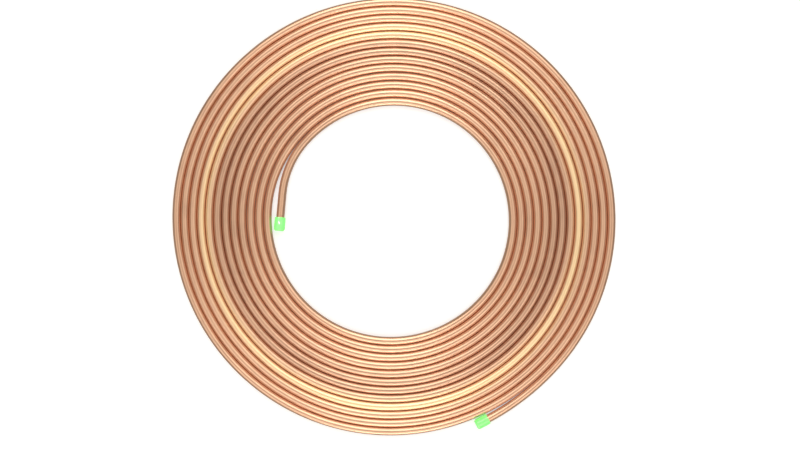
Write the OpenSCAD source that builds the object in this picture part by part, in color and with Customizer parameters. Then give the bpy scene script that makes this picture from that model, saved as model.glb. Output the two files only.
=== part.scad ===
// Flat coil of soft copper tube with a push-on plastic cap on each end.
// Millimetres, +Z up, floor at z = 0, origin under the middle of the coil.

/* [Tube] */
// outside diameter of the tube
tube_d = 9.525; // [6:0.005:16]
// wall thickness
wall = 0.81; // [0.6:0.01:1.2]

/* [Coil] */
// across the coil, over the outermost turn
coil_d = 520; // [450:1:700]
// number of half turns, always odd
half_turns = 25; // [5:2:27]
// clearance between one turn and the next
turn_gap = 0.075; // [0.05:0.005:0.5]
// how far the innermost half turn springs away from its neighbour
loose = 1.5; // [0:0.05:3]
// direction the coil starts in, about Z
start_angle = -41.8; // [-180:0.1:180]

/* [Inner end] */
// how much tighter the inner end bends than the innermost turn
inner_tighter = 33; // [20:0.1:60]
// sine of the angle of that bend
inner_bend_sin = 0.6; // [0.28, 0.352, 0.5376, 0.6]
// straight tube from the bend to the mouth of the cap
inner_run = 27.5; // [20:0.5:60]

/* [Outer end] */
// sine of the angle of the bend that eases away from the outermost turn
outer_bend_sin = 0.352; // [0.28, 0.352, 0.5376, 0.6]

/* [Caps] */
// outside diameter of a cap
cap_d = 12.8; // [11.5:0.1:18]
// length of a cap
cap_len = 16; // [12:0.5:24]
// thickness of a cap's end wall
cap_end = 2; // [1:0.1:3]
// rounding of a cap's closed end
cap_round = 2.5; // [0.5:0.1:2.8]
// chamfer around a cap's mouth
cap_chamfer = 0.3; // [0.1:0.05:0.6]
// radial clearance of a cap on the tube
cap_fit = 0.05; // [0.02:0.01:0.2]
// tube end stops this far from the cap's end wall
cap_stop = 1; // [0.5:0.1:3]
// clearance under a cap, and between a cap and the next turn
cap_gap = 0.1; // [0.05:0.05:1]

/* [Hidden] */
copper = [0.80, 0.50, 0.36];
green = [0.20, 0.80, 0.25];

tube_r = tube_d / 2;
cap_r = cap_d / 2;
grip = cap_len - cap_end - cap_stop;

// sizes that two arcs share are whole thousandths, so that their ends meet exactly
function whole(x) = round(x * 1000) / 1000;
// half turns swing about two centres, this far each side of the middle
off = whole((tube_d + turn_gap) / 4);
pitch = 4 * off;
// each half turn is this much tighter than the one before it
step = pitch / 2;
slack = whole(loose / 2);
first_r = whole(coil_d / 2 - tube_r);
last_r = first_r - (half_turns - 1) * step - slack;
last_off = off + slack;
inner_bend_r = last_r - inner_tighter;

// a bend is swept this many degrees too far and then cut back
over = 2;

// each choice of sine has a cosine that is a short decimal too, and a tilt's cosine is rounded,
// so that a piece that is turned through the angle keeps its exact size
inner_bend = asin(inner_bend_sin);
outer_bend = asin(outer_bend_sin);
function rounded_tilt(angle) = acos(round(cos(angle) * 1e6) / 1e6);

// a cap is fatter than the tube, so both ends rise just enough to clear the floor
lift = cap_r + cap_gap - tube_r;
inner_rise = inner_bend_r * (1 - cos(inner_bend)) + inner_run * inner_bend_sin;
inner_tilt = rounded_tilt(asin(lift / inner_rise));

// the outer end also swings out until its cap clears the next turn: over an arc of this angle,
// a radius of r instead of natural_r moves the end out by angle^2 / 2 * (r^2 / natural_r - r)
swing = sqrt(pow(cap_r + tube_r + cap_gap, 2) - lift * lift) - pitch;
natural_r = first_r + step;
outer_bend_rad = outer_bend * PI / 180;
outer_bend_r = whole(natural_r / 2 * (1 + sqrt(1 + 8 * swing / natural_r / pow(outer_bend_rad, 2))));
outer_tilt = rounded_tilt(asin(lift / outer_bend_r / (1 - cos(outer_bend))));

// section of the tube
module ring() {
  difference() {
    circle(tube_r, $fn = 48);
    circle(tube_r - wall, $fn = 48);
  }
}

// tube bent about Z, from +X through an angle
module bent(r, angle) {
  rotate_extrude(angle = angle, $fn = 180) translate([r, 0]) ring();
}

// the same, cut back to end exactly on the plane that the next piece starts from
module trimmed(r, angle) {
  past_over = r / 10;
  difference() {
    bent(r, angle + over);
    rotate([0, 0, angle]) translate([0, 0, -tube_d]) cube([2 * r, past_over, 2 * tube_d]);
  }
}

// half turn k of the coil, counted inwards
module half_turn(k) {
  last = k == half_turns - 1;
  r = last ? last_r : first_r - k * step;
  rotate([0, 0, 180 * (k % 2)]) translate([last ? last_off : off, 0, 0]) bent(r, 180);
}

// the frame in which a free end's bend starts from the origin along +Y
module bend_start(r, tilt) {
  rotate([0, tilt, 0]) translate([-r, 0, 0]) children();
}

// the frame at the far end of that bend, with the tube running along +Z
module bend_end(r, angle, tilt) {
  bend_start(r, tilt) rotate([0, 0, angle]) translate([r, 0, 0]) rotate([-90, 0, 0])
    children();
}

module free_end(r, angle, tilt, run) {
  bend_start(r, tilt) trimmed(r, angle);
  bend_end(r, angle, tilt) linear_extrude(run) ring();
}

// stands the whole coil on the floor
module place() {
  translate([-off, -off, tube_r]) rotate([0, 0, start_angle]) children();
}

module at_inner_end() {
  translate([last_off - last_r, 0, 0]) rotate([0, 0, 180]) children();
}

module at_outer_end() {
  translate([off + first_r, 0, 0]) rotate([180, 0, 0]) children();
}

// half section of a cap, mouth at y = 0
module cap_section() {
  difference() {
    union() {
      square([cap_r, cap_len - cap_round]);
      square([cap_r - cap_round, cap_len]);
      translate([cap_r - cap_round, cap_len - cap_round]) circle(cap_round, $fn = 48);
    }
    square([tube_r + cap_fit, cap_len - cap_end]);
    translate([cap_r, 0]) rotate(45) square(cap_chamfer * sqrt(2), center = true);
  }
}

module cap() {
  rotate_extrude($fn = 96) cap_section();
}

module copper_tube() {
  color(copper) place() {
    for (k = [0 : half_turns - 1]) half_turn(k);
    at_inner_end() free_end(inner_bend_r, inner_bend, inner_tilt, inner_run + grip);
    at_outer_end() free_end(outer_bend_r, outer_bend, -outer_tilt, grip);
  }
}

module inner_end_cap() {
  color(green) place() at_inner_end()
    bend_end(inner_bend_r, inner_bend, inner_tilt) translate([0, 0, inner_run]) cap();
}

module outer_end_cap() {
  color(green) place() at_outer_end()
    bend_end(outer_bend_r, outer_bend, -outer_tilt) cap();
}

copper_tube();
inner_end_cap();
outer_end_cap();
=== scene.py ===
# Looks of a flat coil of soft copper tube with a green push-on cap on each end.
# Metres, +Z up, the coil lies on the floor at z = 0.
import math

import bpy
import numpy as np
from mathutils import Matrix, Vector


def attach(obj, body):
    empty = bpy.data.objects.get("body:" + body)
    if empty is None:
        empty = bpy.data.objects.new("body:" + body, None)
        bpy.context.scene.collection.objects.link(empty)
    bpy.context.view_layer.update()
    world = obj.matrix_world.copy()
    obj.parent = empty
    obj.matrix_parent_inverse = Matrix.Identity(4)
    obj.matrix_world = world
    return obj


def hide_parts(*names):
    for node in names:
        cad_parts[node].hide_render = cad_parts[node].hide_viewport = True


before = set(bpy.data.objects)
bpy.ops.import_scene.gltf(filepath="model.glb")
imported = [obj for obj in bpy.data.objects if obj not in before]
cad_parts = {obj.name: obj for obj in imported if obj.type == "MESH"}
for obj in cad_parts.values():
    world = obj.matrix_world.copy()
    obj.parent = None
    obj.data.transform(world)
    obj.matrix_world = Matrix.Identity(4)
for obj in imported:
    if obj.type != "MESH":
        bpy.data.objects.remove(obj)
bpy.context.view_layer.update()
print("frame loaded")


# the coil: sizes, then how its skin is divided, how its turns wave and how its UV map is laid out
coilValues = {
    "tubeDiameter": 0.009525,
    "wall": 0.00081,
    "turnGap": 0.000075,
    "coilAcross": 0.52,
    "halfTurns": 25,
    "loose": 0.0015,  # slack across the inner turns
    "looseTurns": 4,  # how many turns share it
    "startAngle": -41.8,
    "innerTighter": 0.033,  # the inner bend's radius is this much less than the last half turn's
    "innerBendSine": 0.6,
    "innerRun": 0.0275,  # straight tube from that bend to the mouth of the cap
    "outerBendSine": 0.352,
    "ringSpacing": 0.007,
    "sides": 24,
    "boreSkips": 2,  # the bore has one ring for this many outside
    "waveHeight": 0.0003,
    "waveSpacing": 0.17,
    "waveSeed": 4,
    "flatEnd": 0.2,  # length at each end without waves
    "flatEase": 0.25,  # length over which they set in
    "mapStrips": 40,
    "mapMargin": 0.002,
    "stripMargin": 0.04,
}

# the caps: sizes, then how many points the profile has
capValues = {
    "diameter": 0.0128,
    "length": 0.016,
    "endWall": 0.002,
    "rounding": 0.0025,
    "chamfer": 0.0003,
    "fit": 0.00005,
    "stop": 0.001,  # from the tube's end to the cap's end wall
    "clearance": 0.0001,  # under a cap, and between a cap and the next turn
    "crown": 0.0002,  # how much both ends of the outside taper
    "crownFrom": 0.00048,  # the outside is what lies this far beyond the tube's radius
    "partingRidge": 0.00004,
    "ridgeWidth": 0.05,  # as the sine of an angle around the cap
    "gateRadius": 0.0011,
    "gateDepth": 0.0003,
    "around": 96,
    "alongGate": 6,
    "alongFace": 3,
    "alongRounding": 11,
    "alongSide": 10,
    "alongInside": 8,
    "alongEnd": 2,
    "sharpAngle": 35,
}


def turned(axis, angle):
    # rotation matrix about X, Y or Z
    c, s = math.cos(angle), math.sin(angle)
    rows = {
        "X": ((1, 0, 0), (0, c, -s), (0, s, c)),
        "Y": ((c, 0, s), (0, 1, 0), (-s, 0, c)),
        "Z": ((c, -s, 0), (s, c, 0), (0, 0, 1)),
    }
    return np.array(rows[axis], float)


def arcPoints(origin, basis, radius, angle, spacing):
    # the point at angle t is origin + radius * (x cos t + y sin t), with x and y from the basis; the
    # last one is left out
    count = max(2, math.ceil(radius * angle / spacing))
    t = np.linspace(0, angle, count, endpoint=False)[:, None]
    return origin + radius * (np.cos(t) * basis[:, 0] + np.sin(t) * basis[:, 1])


def freeEnd(start, basis, radius, angle, run, spacing):
    # an arc that leaves the coil at start along the basis' y, and a straight run after it
    centre = start - radius * basis[:, 0]
    arc = arcPoints(centre, basis, radius, angle, spacing)
    last = centre + radius * (math.cos(angle) * basis[:, 0] + math.sin(angle) * basis[:, 1])
    heading = -math.sin(angle) * basis[:, 0] + math.cos(angle) * basis[:, 1]
    steps = np.linspace(0, run, math.ceil(run / spacing) + 1)[:, None]
    return np.vstack([arc, last + steps * heading])


def tubePath(coil, cap):
    # half circles about two centres that lie a quarter of a pitch each side of the middle, each
    # half a pitch tighter than the one before, and a bend with a straight run at each end; the
    # inner turns share the slack: a turn's half circles tighten by its share, and their centres
    # move by it to the side where the coil is loose
    tubeRadius = coil["tubeDiameter"] / 2
    capRadius = cap["diameter"] / 2
    grip = cap["length"] - cap["endWall"] - cap["stop"]
    pitch = coil["tubeDiameter"] + coil["turnGap"]
    offset, step, slack = pitch / 4, pitch / 2, coil["loose"] / 2
    firstRadius = coil["coilAcross"] / 2 - tubeRadius
    lastRadius = firstRadius - (coil["halfTurns"] - 1) * step - slack
    lastOffset = offset + slack
    spacing = coil["ringSpacing"]
    lift = capRadius + cap["clearance"] - tubeRadius

    turns = []
    for k in range(coil["halfTurns"]):
        odd = k % 2
        turnsLeft = (coil["halfTurns"] - 1 - k + odd) / 2
        share = slack * max(0, 1 - turnsLeft / coil["looseTurns"])
        side = turned("Z", math.pi * odd)
        centre = side @ np.array([offset - share if odd else offset + share, 0, 0])
        turns.append(arcPoints(centre, side, firstRadius - k * step - share, math.pi, spacing))

    # each free end turns about the tangent where its bend starts until its cap clears the floor: the
    # turn's sine is the lift over how far the mouth of the cap lies from that tangent
    bend = math.asin(coil["innerBendSine"])
    radius = lastRadius - coil["innerTighter"]
    rise = radius * (1 - math.cos(bend)) + coil["innerRun"] * coil["innerBendSine"]
    basis = turned("Z", math.pi) @ turned("Y", math.asin(lift / rise))
    start = np.array([lastOffset - lastRadius, 0, 0])
    inner = freeEnd(start, basis, radius, bend, coil["innerRun"] + grip, spacing)

    # the outer end also swings out until its cap clears the next turn: the bend's radius solves
    # swing = bend^2 / 2 * (radius^2 / natural - radius)
    bend = math.asin(coil["outerBendSine"])
    natural = firstRadius + step
    swing = math.sqrt((capRadius + tubeRadius + cap["clearance"]) ** 2 - lift**2) - pitch
    radius = natural / 2 * (1 + math.sqrt(1 + 8 * swing / natural / bend**2))
    basis = turned("X", math.pi) @ turned("Y", -math.asin(lift / radius / (1 - math.cos(bend))))
    start = np.array([offset + firstRadius, 0, 0])
    outer = freeEnd(start, basis, radius, bend, grip, spacing)[:0:-1]

    points = np.vstack([outer, *turns, inner])
    points = points @ turned("Z", math.radians(coil["startAngle"])).T
    return points + np.array([-offset, -offset, tubeRadius])


def alongPath(points):
    # length from the first point to each one
    steps = np.linalg.norm(np.diff(points, axis=0), axis=1)
    return np.concatenate([[0], np.cumsum(steps)])


def pathFrames(points, along):
    # the direction of travel, the level direction square to it and what is square to both
    heading = np.gradient(points, along, axis=0, edge_order=2)
    heading /= np.linalg.norm(heading, axis=1, keepdims=True)
    outward = np.cross(heading, [0, 0, 1])
    outward /= np.linalg.norm(outward, axis=1, keepdims=True)
    return heading, outward, np.cross(outward, heading)


def smoothNoise(along, spacing, seed):
    # random values at even steps along a line, joined by a smooth curve, from 0 to 1
    rng = np.random.default_rng(seed)
    knots = rng.random(int(along[-1] / spacing) + 3)
    place = along / spacing
    left = place.astype(int)
    t = place - left
    t = t * t * (3 - 2 * t)
    return knots[left] * (1 - t) + knots[left + 1] * t


def meshObject(name, vertices, faces, smooth):
    mesh = bpy.data.meshes.new(name)
    mesh.from_pydata(vertices.tolist(), [], faces)
    mesh.polygons.foreach_set("use_smooth", smooth)
    mesh.update()
    piece = bpy.data.objects.new(name, mesh)
    bpy.context.scene.collection.objects.link(piece)
    return piece


def wrappedFaces(rows, columns, closeRows):
    # quads between neighbouring rows, with the last column joined to the first
    i = np.arange(rows if closeRows else rows - 1)[:, None]
    j = np.arange(columns)[None, :]
    nextRow, nextColumn = (i + 1) % rows, (j + 1) % columns
    quads = np.stack([i * columns + j, nextRow * columns + j,
                      nextRow * columns + nextColumn, i * columns + nextColumn], -1)
    return quads.reshape(-1, 4)


def makeTube(coil, cap):
    # point (i, a) is path[i] + radius * (outward cos a + up sin a): the rows go out along the
    # outside of the tube and come back along its bore, so that the wall is one closed skin
    points = tubePath(coil, cap)
    along = alongPath(points)
    points[:, 2] += waveOf(along, coil)
    heading, outward, up = pathFrames(points, along)
    count = len(points)
    back = np.unique(np.append(np.arange(0, count, coil["boreSkips"]), count - 1))[::-1]
    rows = np.concatenate([np.arange(count), back])
    radius = np.full(len(rows), coil["tubeDiameter"] / 2)
    radius[count:] -= coil["wall"]
    sides = coil["sides"]
    a = np.arange(sides) * 2 * np.pi / sides - np.pi / 2
    y = radius[:, None] * np.cos(a)
    z = radius[:, None] * np.sin(a)
    centres = points[rows, None]
    vertices = centres + y[..., None] * outward[rows, None] + z[..., None] * up[rows, None]
    faces = wrappedFaces(len(rows), sides, True)
    row = faces[:, 0] // sides
    smooth = (row != count - 1) & (row != len(rows) - 1)
    piece = meshObject("copper_tube_skin", vertices.reshape(-1, 3), faces.tolist(), smooth)

    # the tube pulled straight: x along it and y, z across it, for patterns that follow the tube
    straight = np.stack([np.broadcast_to(along[rows, None], y.shape), y, z], -1)
    attribute = piece.data.attributes.new("straightTube", "FLOAT_VECTOR", "POINT")
    attribute.data.foreach_set("vector", straight.astype(np.float32).ravel())
    bakeMap(piece, faces, len(rows), coil)
    return piece, points, heading


def waveOf(along, coil):
    # turns don't lie quite flat: the rise is waveHeight times smooth noise along the tube, eased to
    # nothing towards both ends
    fromEnd = np.minimum(along, along[-1] - along)
    ease = np.clip((fromEnd - coil["flatEnd"]) / coil["flatEase"], 0, 1)
    return coil["waveHeight"] * ease * smoothNoise(along, coil["waveSpacing"], coil["waveSeed"])


def bakeMap(piece, faces, rows, coil):
    # a UV map of strips: the rows are cut into equal lengths, which lie side by side with a margin
    columns, strips = coil["sides"], coil["mapStrips"]
    perStrip = math.ceil(rows / strips)
    first = faces[:, 0]
    i, j = first // columns, first % columns
    strip, place = i // perStrip, i % perStrip
    across = np.stack([j, j, j + 1, j + 1], -1) / columns
    length = np.stack([place, place + 1, place + 1, place], -1) / perStrip
    u = coil["mapMargin"] + (1 - 2 * coil["mapMargin"]) * length
    v = (strip[:, None] + coil["stripMargin"] + (1 - 2 * coil["stripMargin"]) * across) / strips
    layer = piece.data.uv_layers.new(name="OFBake")
    layer.uv.foreach_set("vector", np.stack([u, v], -1).astype(np.float32).ravel())


def between(first, last, count):
    # even steps from first to last, without the two ends
    return np.linspace(first, last, count + 2)[1:-1]


def capProfile(cap, tubeRadius):
    # distance from the mouth and radius, from the closed end round the mouth to the inside: the gate's
    # dimple is depth * (1 - t^2)^2 and the rounding a quarter circle
    length, rounding, chamfer = cap["length"], cap["rounding"], cap["chamfer"]
    outer = cap["diameter"] / 2 - cap["partingRidge"]
    inner = tubeRadius + cap["fit"]
    insideEnd = length - cap["endWall"]
    gate = np.linspace(0, 1, cap["alongGate"] + 1)[1:]
    turn = np.linspace(0, np.pi / 2, cap["alongRounding"])
    face = between(cap["gateRadius"], outer - rounding, cap["alongFace"])
    side = between(length - rounding, chamfer, cap["alongSide"])
    wall = np.linspace(chamfer / 2, insideEnd, cap["alongInside"])
    floor = between(inner, 0, cap["alongEnd"])
    parts = (
        (length - cap["gateDepth"] * (1 - gate**2) ** 2, cap["gateRadius"] * gate),
        (np.full(len(face), length), face),
        (length - rounding + rounding * np.cos(turn), outer - rounding + rounding * np.sin(turn)),
        (side, np.full(len(side), outer)),
        ([chamfer, 0, 0], [outer, outer - chamfer, inner + chamfer / 2]),
        (wall, np.full(len(wall), inner)),
        (np.full(len(floor), insideEnd), floor),
    )
    x = np.concatenate([part[0] for part in parts])
    r = np.concatenate([part[1] for part in parts])
    return x, r


def makeCap(name, mouth, axis, cap, tubeRadius):
    # a turned profile: point (i, a) is mouth + axis * x[i] + r(i, a) * (level cos a + down sin a),
    # where r is the profile's radius, less crown * (2 x / length - 1)^2 on the outside, plus a ridge
    # at a = 0 and pi on the side; the profile starts at the closed end, so going round by way of down
    # is what points the faces outwards
    x, r = capProfile(cap, tubeRadius)
    columns = cap["around"]
    a = np.arange(columns) * 2 * np.pi / columns
    onSide = r > cap["diameter"] / 2 - cap["partingRidge"] * 2
    onOutside = r > tubeRadius + cap["crownFrom"]
    ridge = cap["partingRidge"] * np.exp(-((np.sin(a) / cap["ridgeWidth"]) ** 2))
    crown = cap["crown"] * (2 * x / cap["length"] - 1) ** 2 * onOutside
    radius = (r - crown)[:, None] + onSide[:, None] * ridge
    level = np.cross(axis, [0, 0, 1])
    level /= np.linalg.norm(level)
    down = np.cross(axis, level)
    ring = np.cos(a)[:, None] * level + np.sin(a)[:, None] * down
    grid = mouth + x[:, None, None] * axis + radius[..., None] * ring
    rows = len(x)
    faces = wrappedFaces(rows, columns, False).tolist()
    j = np.arange(columns)
    nextJ = (j + 1) % columns
    outerPole, innerPole = rows * columns, rows * columns + 1
    last = (rows - 1) * columns
    faces += np.stack([np.full(columns, outerPole), j, nextJ], -1).tolist()
    faces += np.stack([np.full(columns, innerPole), last + nextJ, last + j], -1).tolist()
    poles = np.array([mouth + axis * (cap["length"] - cap["gateDepth"]),
                      mouth + axis * (cap["length"] - cap["endWall"])])
    vertices = np.vstack([grid.reshape(-1, 3), poles])
    piece = meshObject(name, vertices, faces, np.ones(len(faces), bool))
    piece.data.set_sharp_from_angle(angle=math.radians(cap["sharpAngle"]))
    return piece


def nodeOf(tree, kind, **settings):
    node = tree.nodes.new(kind)
    for key, value in settings.items():
        setattr(node, key, value)
    return node


def mathNode(tree, operation, first, second=None, third=None, clamp=False):
    node = nodeOf(tree, "ShaderNodeMath", operation=operation, use_clamp=clamp)
    for socket, value in zip(node.inputs, (first, second, third)):
        if isinstance(value, bpy.types.NodeSocket):
            tree.links.new(value, socket)
        elif value is not None:
            socket.default_value = value
    return node.outputs[0]


def noiseNode(tree, vector, scale, detail=2.0, roughness=0.5, stretch=(1, 1, 1)):
    mapping = nodeOf(tree, "ShaderNodeMapping")
    mapping.inputs["Scale"].default_value = stretch
    tree.links.new(vector, mapping.inputs["Vector"])
    noise = nodeOf(tree, "ShaderNodeTexNoise")
    tree.links.new(mapping.outputs["Vector"], noise.inputs["Vector"])
    noise.inputs["Scale"].default_value = scale
    noise.inputs["Detail"].default_value = detail
    noise.inputs["Roughness"].default_value = roughness
    return noise.outputs["Fac"]


def rangeNode(tree, value, low, high, newLow, newHigh):
    node = nodeOf(tree, "ShaderNodeMapRange", interpolation_type="SMOOTHSTEP")
    tree.links.new(value, node.inputs["Value"])
    keys = ("From Min", "From Max", "To Min", "To Max")
    for key, number in zip(keys, (low, high, newLow, newHigh)):
        node.inputs[key].default_value = number
    return node.outputs["Result"]


def mixColor(tree, factor, first, second, blend="MIX"):
    node = nodeOf(tree, "ShaderNodeMix", data_type="RGBA", blend_type=blend)
    sockets = [s for s in node.inputs if s.enabled]
    for socket, value in zip(sockets, (factor, first, second)):
        if isinstance(value, bpy.types.NodeSocket):
            tree.links.new(value, socket)
        else:
            socket.default_value = value
    return [s for s in node.outputs if s.enabled][0]


def radiusNode(tree, middle):
    # distance from an upright axis: the length of (x - middle x, y - middle y)
    shift = nodeOf(tree, "ShaderNodeVectorMath", operation="SUBTRACT")
    tree.links.new(nodeOf(tree, "ShaderNodeTexCoord").outputs["Object"], shift.inputs[0])
    shift.inputs[1].default_value = middle
    flat = nodeOf(tree, "ShaderNodeVectorMath", operation="MULTIPLY")
    tree.links.new(shift.outputs[0], flat.inputs[0])
    flat.inputs[1].default_value = (1, 1, 0)
    length = nodeOf(tree, "ShaderNodeVectorMath", operation="LENGTH")
    tree.links.new(flat.outputs[0], length.inputs[0])
    return length.outputs["Value"]


def markGroup(name, build, inputs):
    # a shader node group with a vector and named values in, and one mask from 0 to 1 out
    group = bpy.data.node_groups.new(name, "ShaderNodeTree")
    group.interface.new_socket("Vector", in_out="INPUT", socket_type="NodeSocketVector")
    for key, value in inputs.items():
        socket = group.interface.new_socket(key, in_out="INPUT", socket_type="NodeSocketFloat")
        socket.default_value = value
    group.interface.new_socket("Mask", in_out="OUTPUT", socket_type="NodeSocketFloat")
    source = nodeOf(group, "NodeGroupInput").outputs
    result = build(group, source)
    group.links.new(result, nodeOf(group, "NodeGroupOutput").inputs["Mask"])
    return group


def placeGroup(tree, group, vector, **values):
    node = nodeOf(tree, "ShaderNodeGroup", node_tree=group)
    tree.links.new(vector, node.inputs["Vector"])
    for key, value in values.items():
        node.inputs[key].default_value = value
    return node.outputs["Mask"]


def smudges(tree, source):
    # soft patches where two noises are both strong: each layer is how much finer than Scale its noise
    # is, and its detail
    layers = []
    for finer, detail in ((1.0, 2.0), (4.3, 4.0)):
        noise = nodeOf(tree, "ShaderNodeTexNoise")
        tree.links.new(source["Vector"], noise.inputs["Vector"])
        tree.links.new(mathNode(tree, "MULTIPLY", source["Scale"], finer), noise.inputs["Scale"])
        noise.inputs["Detail"].default_value = detail
        layers.append(noise.outputs["Fac"])
    both = mathNode(tree, "MULTIPLY", *layers)
    edge = mathNode(tree, "SUBTRACT", both, source["Threshold"])
    return mathNode(tree, "MULTIPLY", edge, source["Sharpness"], clamp=True)


def bandAt(tree, radius, middle, halfWidth):
    # a bell over the radius: exp(-((radius - middle) / halfWidth)^2)
    away = mathNode(tree, "DIVIDE", mathNode(tree, "SUBTRACT", radius, middle), halfWidth)
    square = mathNode(tree, "MULTIPLY", away, away)
    return mathNode(tree, "EXPONENT", mathNode(tree, "MULTIPLY", square, -1.0))


def addBump(tree, shader, height, depth):
    bump = nodeOf(tree, "ShaderNodeBump")
    bump.inputs["Distance"].default_value = depth
    tree.links.new(height, bump.inputs["Height"])
    tree.links.new(bump.outputs["Normal"], shader.inputs["Normal"])


copperLook = {
    "clean": (0.79, 0.51, 0.39, 1),
    # the colour of tarnish patches, and also the painted shade of the turns inside the highlight band
    "tarnishedAndShaded": (0.61, 0.385, 0.30, 1),
    # a light colour painted on the tops of one band of turns: a painted highlight; the band also has a
    # rougher finish
    "highlightBand": (0.98, 0.76, 0.52, 1),
    "roughness": 0.35,
    "highlightBandRoughness": 0.42,
    "coilMiddle": (-0.0024, -0.0024),  # halfway between the half circles' centres
    "highlightBandRadius": 0.2195,
    "highlightBandHalfWidth": 0.0065,
    "highlightBandHeight": (0.0012, 0.0042),  # above the tube's centre line, where the highlight is painted
    "shadeBandRadius": (0.165, 0.202, 0.213),  # where the painted shade begins, is strongest and ends
    # how far the turns inside the highlight band darken towards that colour: painted shade
    "shadeBandStrength": 0.67,
    "tarnish": 0.5,
    "tarnishPatches": {"Scale": 9.0, "Threshold": 0.26, "Sharpness": 6.0},
    "lineScale": 620.0,
    "lineStretch": (0.01, 1, 1),
    "lineRange": (0.3, 0.7),
    "lineRoughness": 0.03,
    "lineHeight": 0.01,
    "dentScale": 26.0,
    "dentStretch": (1, 1.6, 1.6),
    "dentDepth": 0.0004,
}

capLook = {
    "green": (0.27, 1.0, 0.29, 1),
    "glow": (0.1, 1.0, 0.12, 1),
    "glowStrength": 0.3,
    "roughness": 0.08,
    "gloss": 1.0,
    "glossRoughness": 0.04,
    "mottleScale": 350.0,
    "mottleRange": (0.35, 0.7),
    "mottleShade": 0.85,
    "mottleDepth": 0.000002,
    "scuffs": {"Scale": 120.0, "Threshold": 0.3, "Sharpness": 8.0},
    "scuffRoughness": 0.12,
}


def copperMaterial(look, smudgeGroup):
    material = bpy.data.materials.new("soft_copper")
    material.use_nodes = True
    tree = material.node_tree
    shader = tree.nodes["Principled BSDF"]
    shader.inputs["Metallic"].default_value = 1.0

    # distance from the coil's middle, for the band whose tops get a painted highlight and a rougher
    # finish, and for the darker turns inside it, which are painted shade
    radius = radiusNode(tree, (*look["coilMiddle"], 0))
    ring = bandAt(tree, radius, look["highlightBandRadius"], look["highlightBandHalfWidth"])
    low, middle, high = look["shadeBandRadius"]
    shadeBand = mathNode(tree, "MULTIPLY", rangeNode(tree, radius, low, middle, 0, 1),
                    rangeNode(tree, radius, middle, high, 1, 0))

    # patterns that follow the tube: fine lines from drawing it, tarnish, slight dents, and the tubes'
    # tops, where the band's highlight is painted
    place = nodeOf(tree, "ShaderNodeAttribute", attribute_name="straightTube").outputs["Vector"]
    across = nodeOf(tree, "ShaderNodeSeparateXYZ")
    tree.links.new(place, across.inputs[0])
    top = rangeNode(tree, across.outputs["Z"], *look["highlightBandHeight"], 0, 1)
    highlightBand = mathNode(tree, "MULTIPLY", ring, top)
    lines = noiseNode(tree, place, look["lineScale"], detail=1.0, stretch=look["lineStretch"])
    dents = noiseNode(tree, place, look["dentScale"], detail=1.0, stretch=look["dentStretch"])
    patches = placeGroup(tree, smudgeGroup, place, **look["tarnishPatches"])
    tarnishAndShade = mathNode(tree, "MULTIPLY", patches, look["tarnish"])
    # the turns inside the highlight band darken as painted shade, on top of the random tarnish patches
    tarnishAndShade = mathNode(tree, "MULTIPLY_ADD", shadeBand, look["shadeBandStrength"], tarnishAndShade, clamp=True)
    color = mixColor(tree, tarnishAndShade, look["clean"], look["tarnishedAndShaded"])
    # the band of painted highlight: on the tubes' tops there the base colour turns light
    color = mixColor(tree, highlightBand, color, look["highlightBand"])
    tree.links.new(color, shader.inputs["Base Color"])
    smoothest = look["roughness"] - look["lineRoughness"]
    roughest = look["roughness"] + look["lineRoughness"]
    polish = rangeNode(tree, lines, *look["lineRange"], smoothest, roughest)
    extra = mathNode(tree, "MULTIPLY", highlightBand, look["highlightBandRoughness"] - look["roughness"])
    tree.links.new(mathNode(tree, "ADD", polish, extra), shader.inputs["Roughness"])
    height = mathNode(tree, "MULTIPLY_ADD", lines, look["lineHeight"], dents)
    addBump(tree, shader, height, look["dentDepth"])
    return material


def plasticMaterial(look, smudgeGroup):
    material = bpy.data.materials.new("green_cap_plastic")
    material.use_nodes = True
    tree = material.node_tree
    shader = tree.nodes["Principled BSDF"]
    place = nodeOf(tree, "ShaderNodeTexCoord").outputs["Object"]
    mottle = noiseNode(tree, place, look["mottleScale"], detail=3.0)
    scuffs = placeGroup(tree, smudgeGroup, place, **look["scuffs"])
    darker = tuple(x * look["mottleShade"] for x in look["green"][:3]) + (1,)
    shade = rangeNode(tree, mottle, *look["mottleRange"], 0, 1)
    tree.links.new(mixColor(tree, shade, look["green"], darker), shader.inputs["Base Color"])
    shader.inputs["Emission Color"].default_value = look["glow"]
    shader.inputs["Emission Strength"].default_value = look["glowStrength"]
    shader.inputs["Coat Weight"].default_value = look["gloss"]
    shader.inputs["Coat Roughness"].default_value = look["glossRoughness"]
    rough = mathNode(tree, "MULTIPLY_ADD", scuffs, look["scuffRoughness"], look["roughness"])
    tree.links.new(rough, shader.inputs["Roughness"])
    addBump(tree, shader, mottle, look["mottleDepth"])
    return material


tube, path, heading = makeTube(coilValues, capValues)
tubeRadius = coilValues["tubeDiameter"] / 2
grip = capValues["length"] - capValues["endWall"] - capValues["stop"]
# each end: the mouth of its cap and the way the cap points
ends = (
    ("outer", path[0] + heading[0] * grip, -heading[0]),
    ("inner", path[-1] - heading[-1] * grip, heading[-1]),
)
caps = {}
for end, mouth, axis in ends:
    caps[end] = makeCap(end + "_cap_moulding", mouth, axis, capValues, tubeRadius)

smudgeGroup = markGroup("smudges", smudges, {"Scale": 10.0, "Threshold": 0.3, "Sharpness": 6.0})
copper = copperMaterial(copperLook, smudgeGroup)
plastic = plasticMaterial(capLook, smudgeGroup)
for piece, node, slot, material in (
    (tube, "copper_tube", "copper", copper),
    (caps["outer"], "outer_end_cap", "cap_plastic", plastic),
    (caps["inner"], "inner_end_cap", "cap_plastic", plastic),
):
    piece.data.materials.append(material)
    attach(piece, "root")
    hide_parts(node)
    print(piece.name, "made,", len(piece.data.polygons), "faces")


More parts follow.
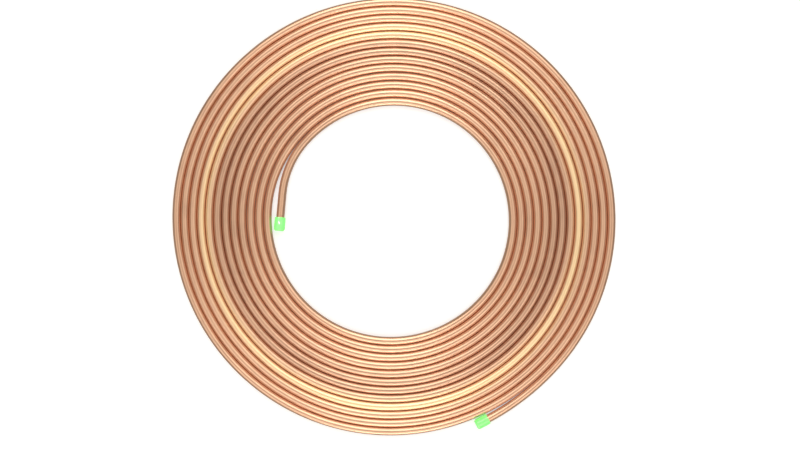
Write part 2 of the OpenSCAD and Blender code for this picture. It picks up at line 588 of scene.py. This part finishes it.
# the floor, the camera, the dome of light, the soft panels and the lamps for the caps' highlights
studioValues = {
    "floorRadius": 8.0,
    "floorSides": 96,
    "floorRoughness": 0.9,
    "floorColor": (0.62, 0.64, 0.68, 1),
    "cameraAim": (0.00705, -0.00967),
    "cameraHeight": 1.3061,
    "lens": 50.0,
    "dome": (  # angle from straight up, light from there
        (0, 0.06),
        (8, 0.1),
        (18, 0.5),
        (30, 1.05),
        (43, 1.08),
        (55, 0.25),
        (68, 0.24),
        (80, 0.2),
        (88, 0.2),
        (94, 0.45),
        (180, 0.45),
    ),
    "warmth": (1.09, 1.0, 0.82),
    "panelDistance": 4.2,
    "panelSize": (2.7, 1.35),
    "panels": {  # angle around the coil, angle from straight up, radiance
        "back_high": (90, 15, 0.5),
        "back": (90, 35, 2.8),
        "back_low": (90, 58, 2.5),
        "back_right": (45, 45, 0.78),
        "front_low": (270, 68, 4.5),
        "front_high": (270, 30, 0.5),
        "front_left": (225, 50, 1.16),
        "front_right": (315, 50, 1.27),
    },
    "floorGlow": (0.47, 0.47, 0.5, 1),
    "glowMiddle": (-0.005, -0.005, 0),
    "glowInside": (0.139, 0.142),
    "glowOutside": (0.2535, 0.2552),
    "glintDistance": 1.3,
    "glintRadiance": 280.0,
    "glints": {  # share of the cap's length, angle from its top, size of the lamp
        "outer": (0.7, 26, 0.055),
        "inner": (0.37, 5, 0.068),
    },
}


def makeFloor(studio):
    # a disc as a fan of triangles, which glows inside and around the coil but not beneath it
    sides = studio["floorSides"]
    t = np.linspace(0, 2 * np.pi, sides, endpoint=False)
    ring = studio["floorRadius"] * np.stack([np.cos(t), np.sin(t), 0 * t], -1)
    vertices = np.vstack([ring, [[0, 0, 0]]])
    j = np.arange(sides)
    faces = np.stack([j, (j + 1) % sides, np.full(sides, sides)], -1).tolist()
    floor = meshObject("studio_floor", vertices, faces, np.zeros(sides, bool))
    material = bpy.data.materials.new("pale_floor")
    material.use_nodes = True
    tree = material.node_tree
    shader = tree.nodes["Principled BSDF"]
    shader.inputs["Base Color"].default_value = studio["floorColor"]
    shader.inputs["Roughness"].default_value = studio["floorRoughness"]
    shader.inputs["Emission Color"].default_value = studio["floorGlow"]
    inside = rangeNode(tree, radiusNode(tree, studio["glowMiddle"]), *studio["glowInside"], 1, 0)
    outside = rangeNode(tree, radiusNode(tree, (0, 0, 0)), *studio["glowOutside"], 0, 1)
    tree.links.new(mathNode(tree, "ADD", inside, outside), shader.inputs["Emission Strength"])
    floor.data.materials.append(material)
    floor.visible_glossy = False


def makeWorld(studio):
    # a soft dome: the ramp runs from straight down at 0 to straight up at 1
    world = bpy.data.worlds.new("studio_dome")
    bpy.context.scene.world = world
    world.use_nodes = True
    tree = world.node_tree
    place = nodeOf(tree, "ShaderNodeTexCoord").outputs["Generated"]
    split = nodeOf(tree, "ShaderNodeSeparateXYZ")
    tree.links.new(place, split.inputs[0])
    ramp = nodeOf(tree, "ShaderNodeValToRGB")
    stops = sorted((1 - angle / 180, light) for angle, light in studio["dome"])
    elements = ramp.color_ramp.elements
    while len(elements) < len(stops):
        elements.new(0.5)
    for element, (at, light) in zip(elements, stops):
        element.position = at
        element.color = tuple(light * c for c in studio["warmth"]) + (1,)
    angle = mathNode(tree, "ARCCOSINE", split.outputs["Z"])
    upward = mathNode(tree, "MULTIPLY_ADD", angle, -1 / math.pi, 1.0)
    tree.links.new(upward, ramp.inputs[0])
    tree.links.new(ramp.outputs[0], tree.nodes["Background"].inputs["Color"])


def softPanel(name, around, down, radiance, studio):
    # a panel that faces the coil; its power is radiance * area * pi
    width, height = studio["panelSize"]
    around, down = math.radians(around), math.radians(down)
    level = math.sin(down)
    toward = Vector((level * math.cos(around), level * math.sin(around), math.cos(down)))
    data = bpy.data.lights.new(name, "AREA")
    data.shape = "RECTANGLE"
    data.size, data.size_y = width, height
    data.energy = radiance * width * height * math.pi
    data.color = studio["warmth"]
    light = bpy.data.objects.new(name, data)
    light.location = toward * studio["panelDistance"]
    light.rotation_euler = toward.to_track_quat("Z", "Y").to_euler()
    bpy.context.scene.collection.objects.link(light)


def glintLamp(name, piece, mouth, axis, spot, cap, studio):
    # a small lamp that lights one cap only, and whose reflection falls on a spot of that cap: the way
    # to the lamp is 2 (n . c) n - c, where n is the skin's normal there, which leans by the crown's
    # slope, and c the way to the camera
    along, around, size = spot
    around = math.radians(around)
    level = np.cross(axis, [0, 0, 1])
    level /= np.linalg.norm(level)
    radial = math.sin(around) * level + math.cos(around) * np.cross(level, axis)
    point = mouth + axis * along * cap["length"] + radial * cap["diameter"] / 2
    normal = radial + axis * 4 * cap["crown"] / cap["length"] * (2 * along - 1)
    normal /= np.linalg.norm(normal)
    toCamera = np.array([*studio["cameraAim"], studio["cameraHeight"]]) - point
    toCamera /= np.linalg.norm(toCamera)
    toward = Vector(2 * (normal @ toCamera) * normal - toCamera)
    data = bpy.data.lights.new(name, "AREA")
    data.shape = "DISK"
    data.size = size
    data.energy = studio["glintRadiance"] * math.pi * size**2 / 4 * math.pi
    light = bpy.data.objects.new(name, data)
    light.location = Vector(point) + toward * studio["glintDistance"]
    light.rotation_euler = toward.to_track_quat("Z", "Y").to_euler()
    bpy.context.scene.collection.objects.link(light)
    receivers = bpy.data.collections.new(name + "_receivers")
    receivers.objects.link(piece)
    light.light_linking.receiver_collection = receivers


def makeCamera(studio):
    data = bpy.data.cameras.new("camera")
    data.lens = studio["lens"]
    camera = bpy.data.objects.new("camera", data)
    camera.location = (*studio["cameraAim"], studio["cameraHeight"])
    bpy.context.scene.collection.objects.link(camera)
    bpy.context.scene.camera = camera


makeFloor(studioValues)
makeWorld(studioValues)
for name, (around, down, radiance) in studioValues["panels"].items():
    softPanel(name, around, down, radiance, studioValues)
for end, mouth, axis in ends:
    spot = studioValues["glints"][end]
    glintLamp(end + "_glint", caps[end], mouth, axis, spot, capValues, studioValues)
makeCamera(studioValues)
bpy.context.scene.view_settings.view_transform = "Standard"
print("studio made")
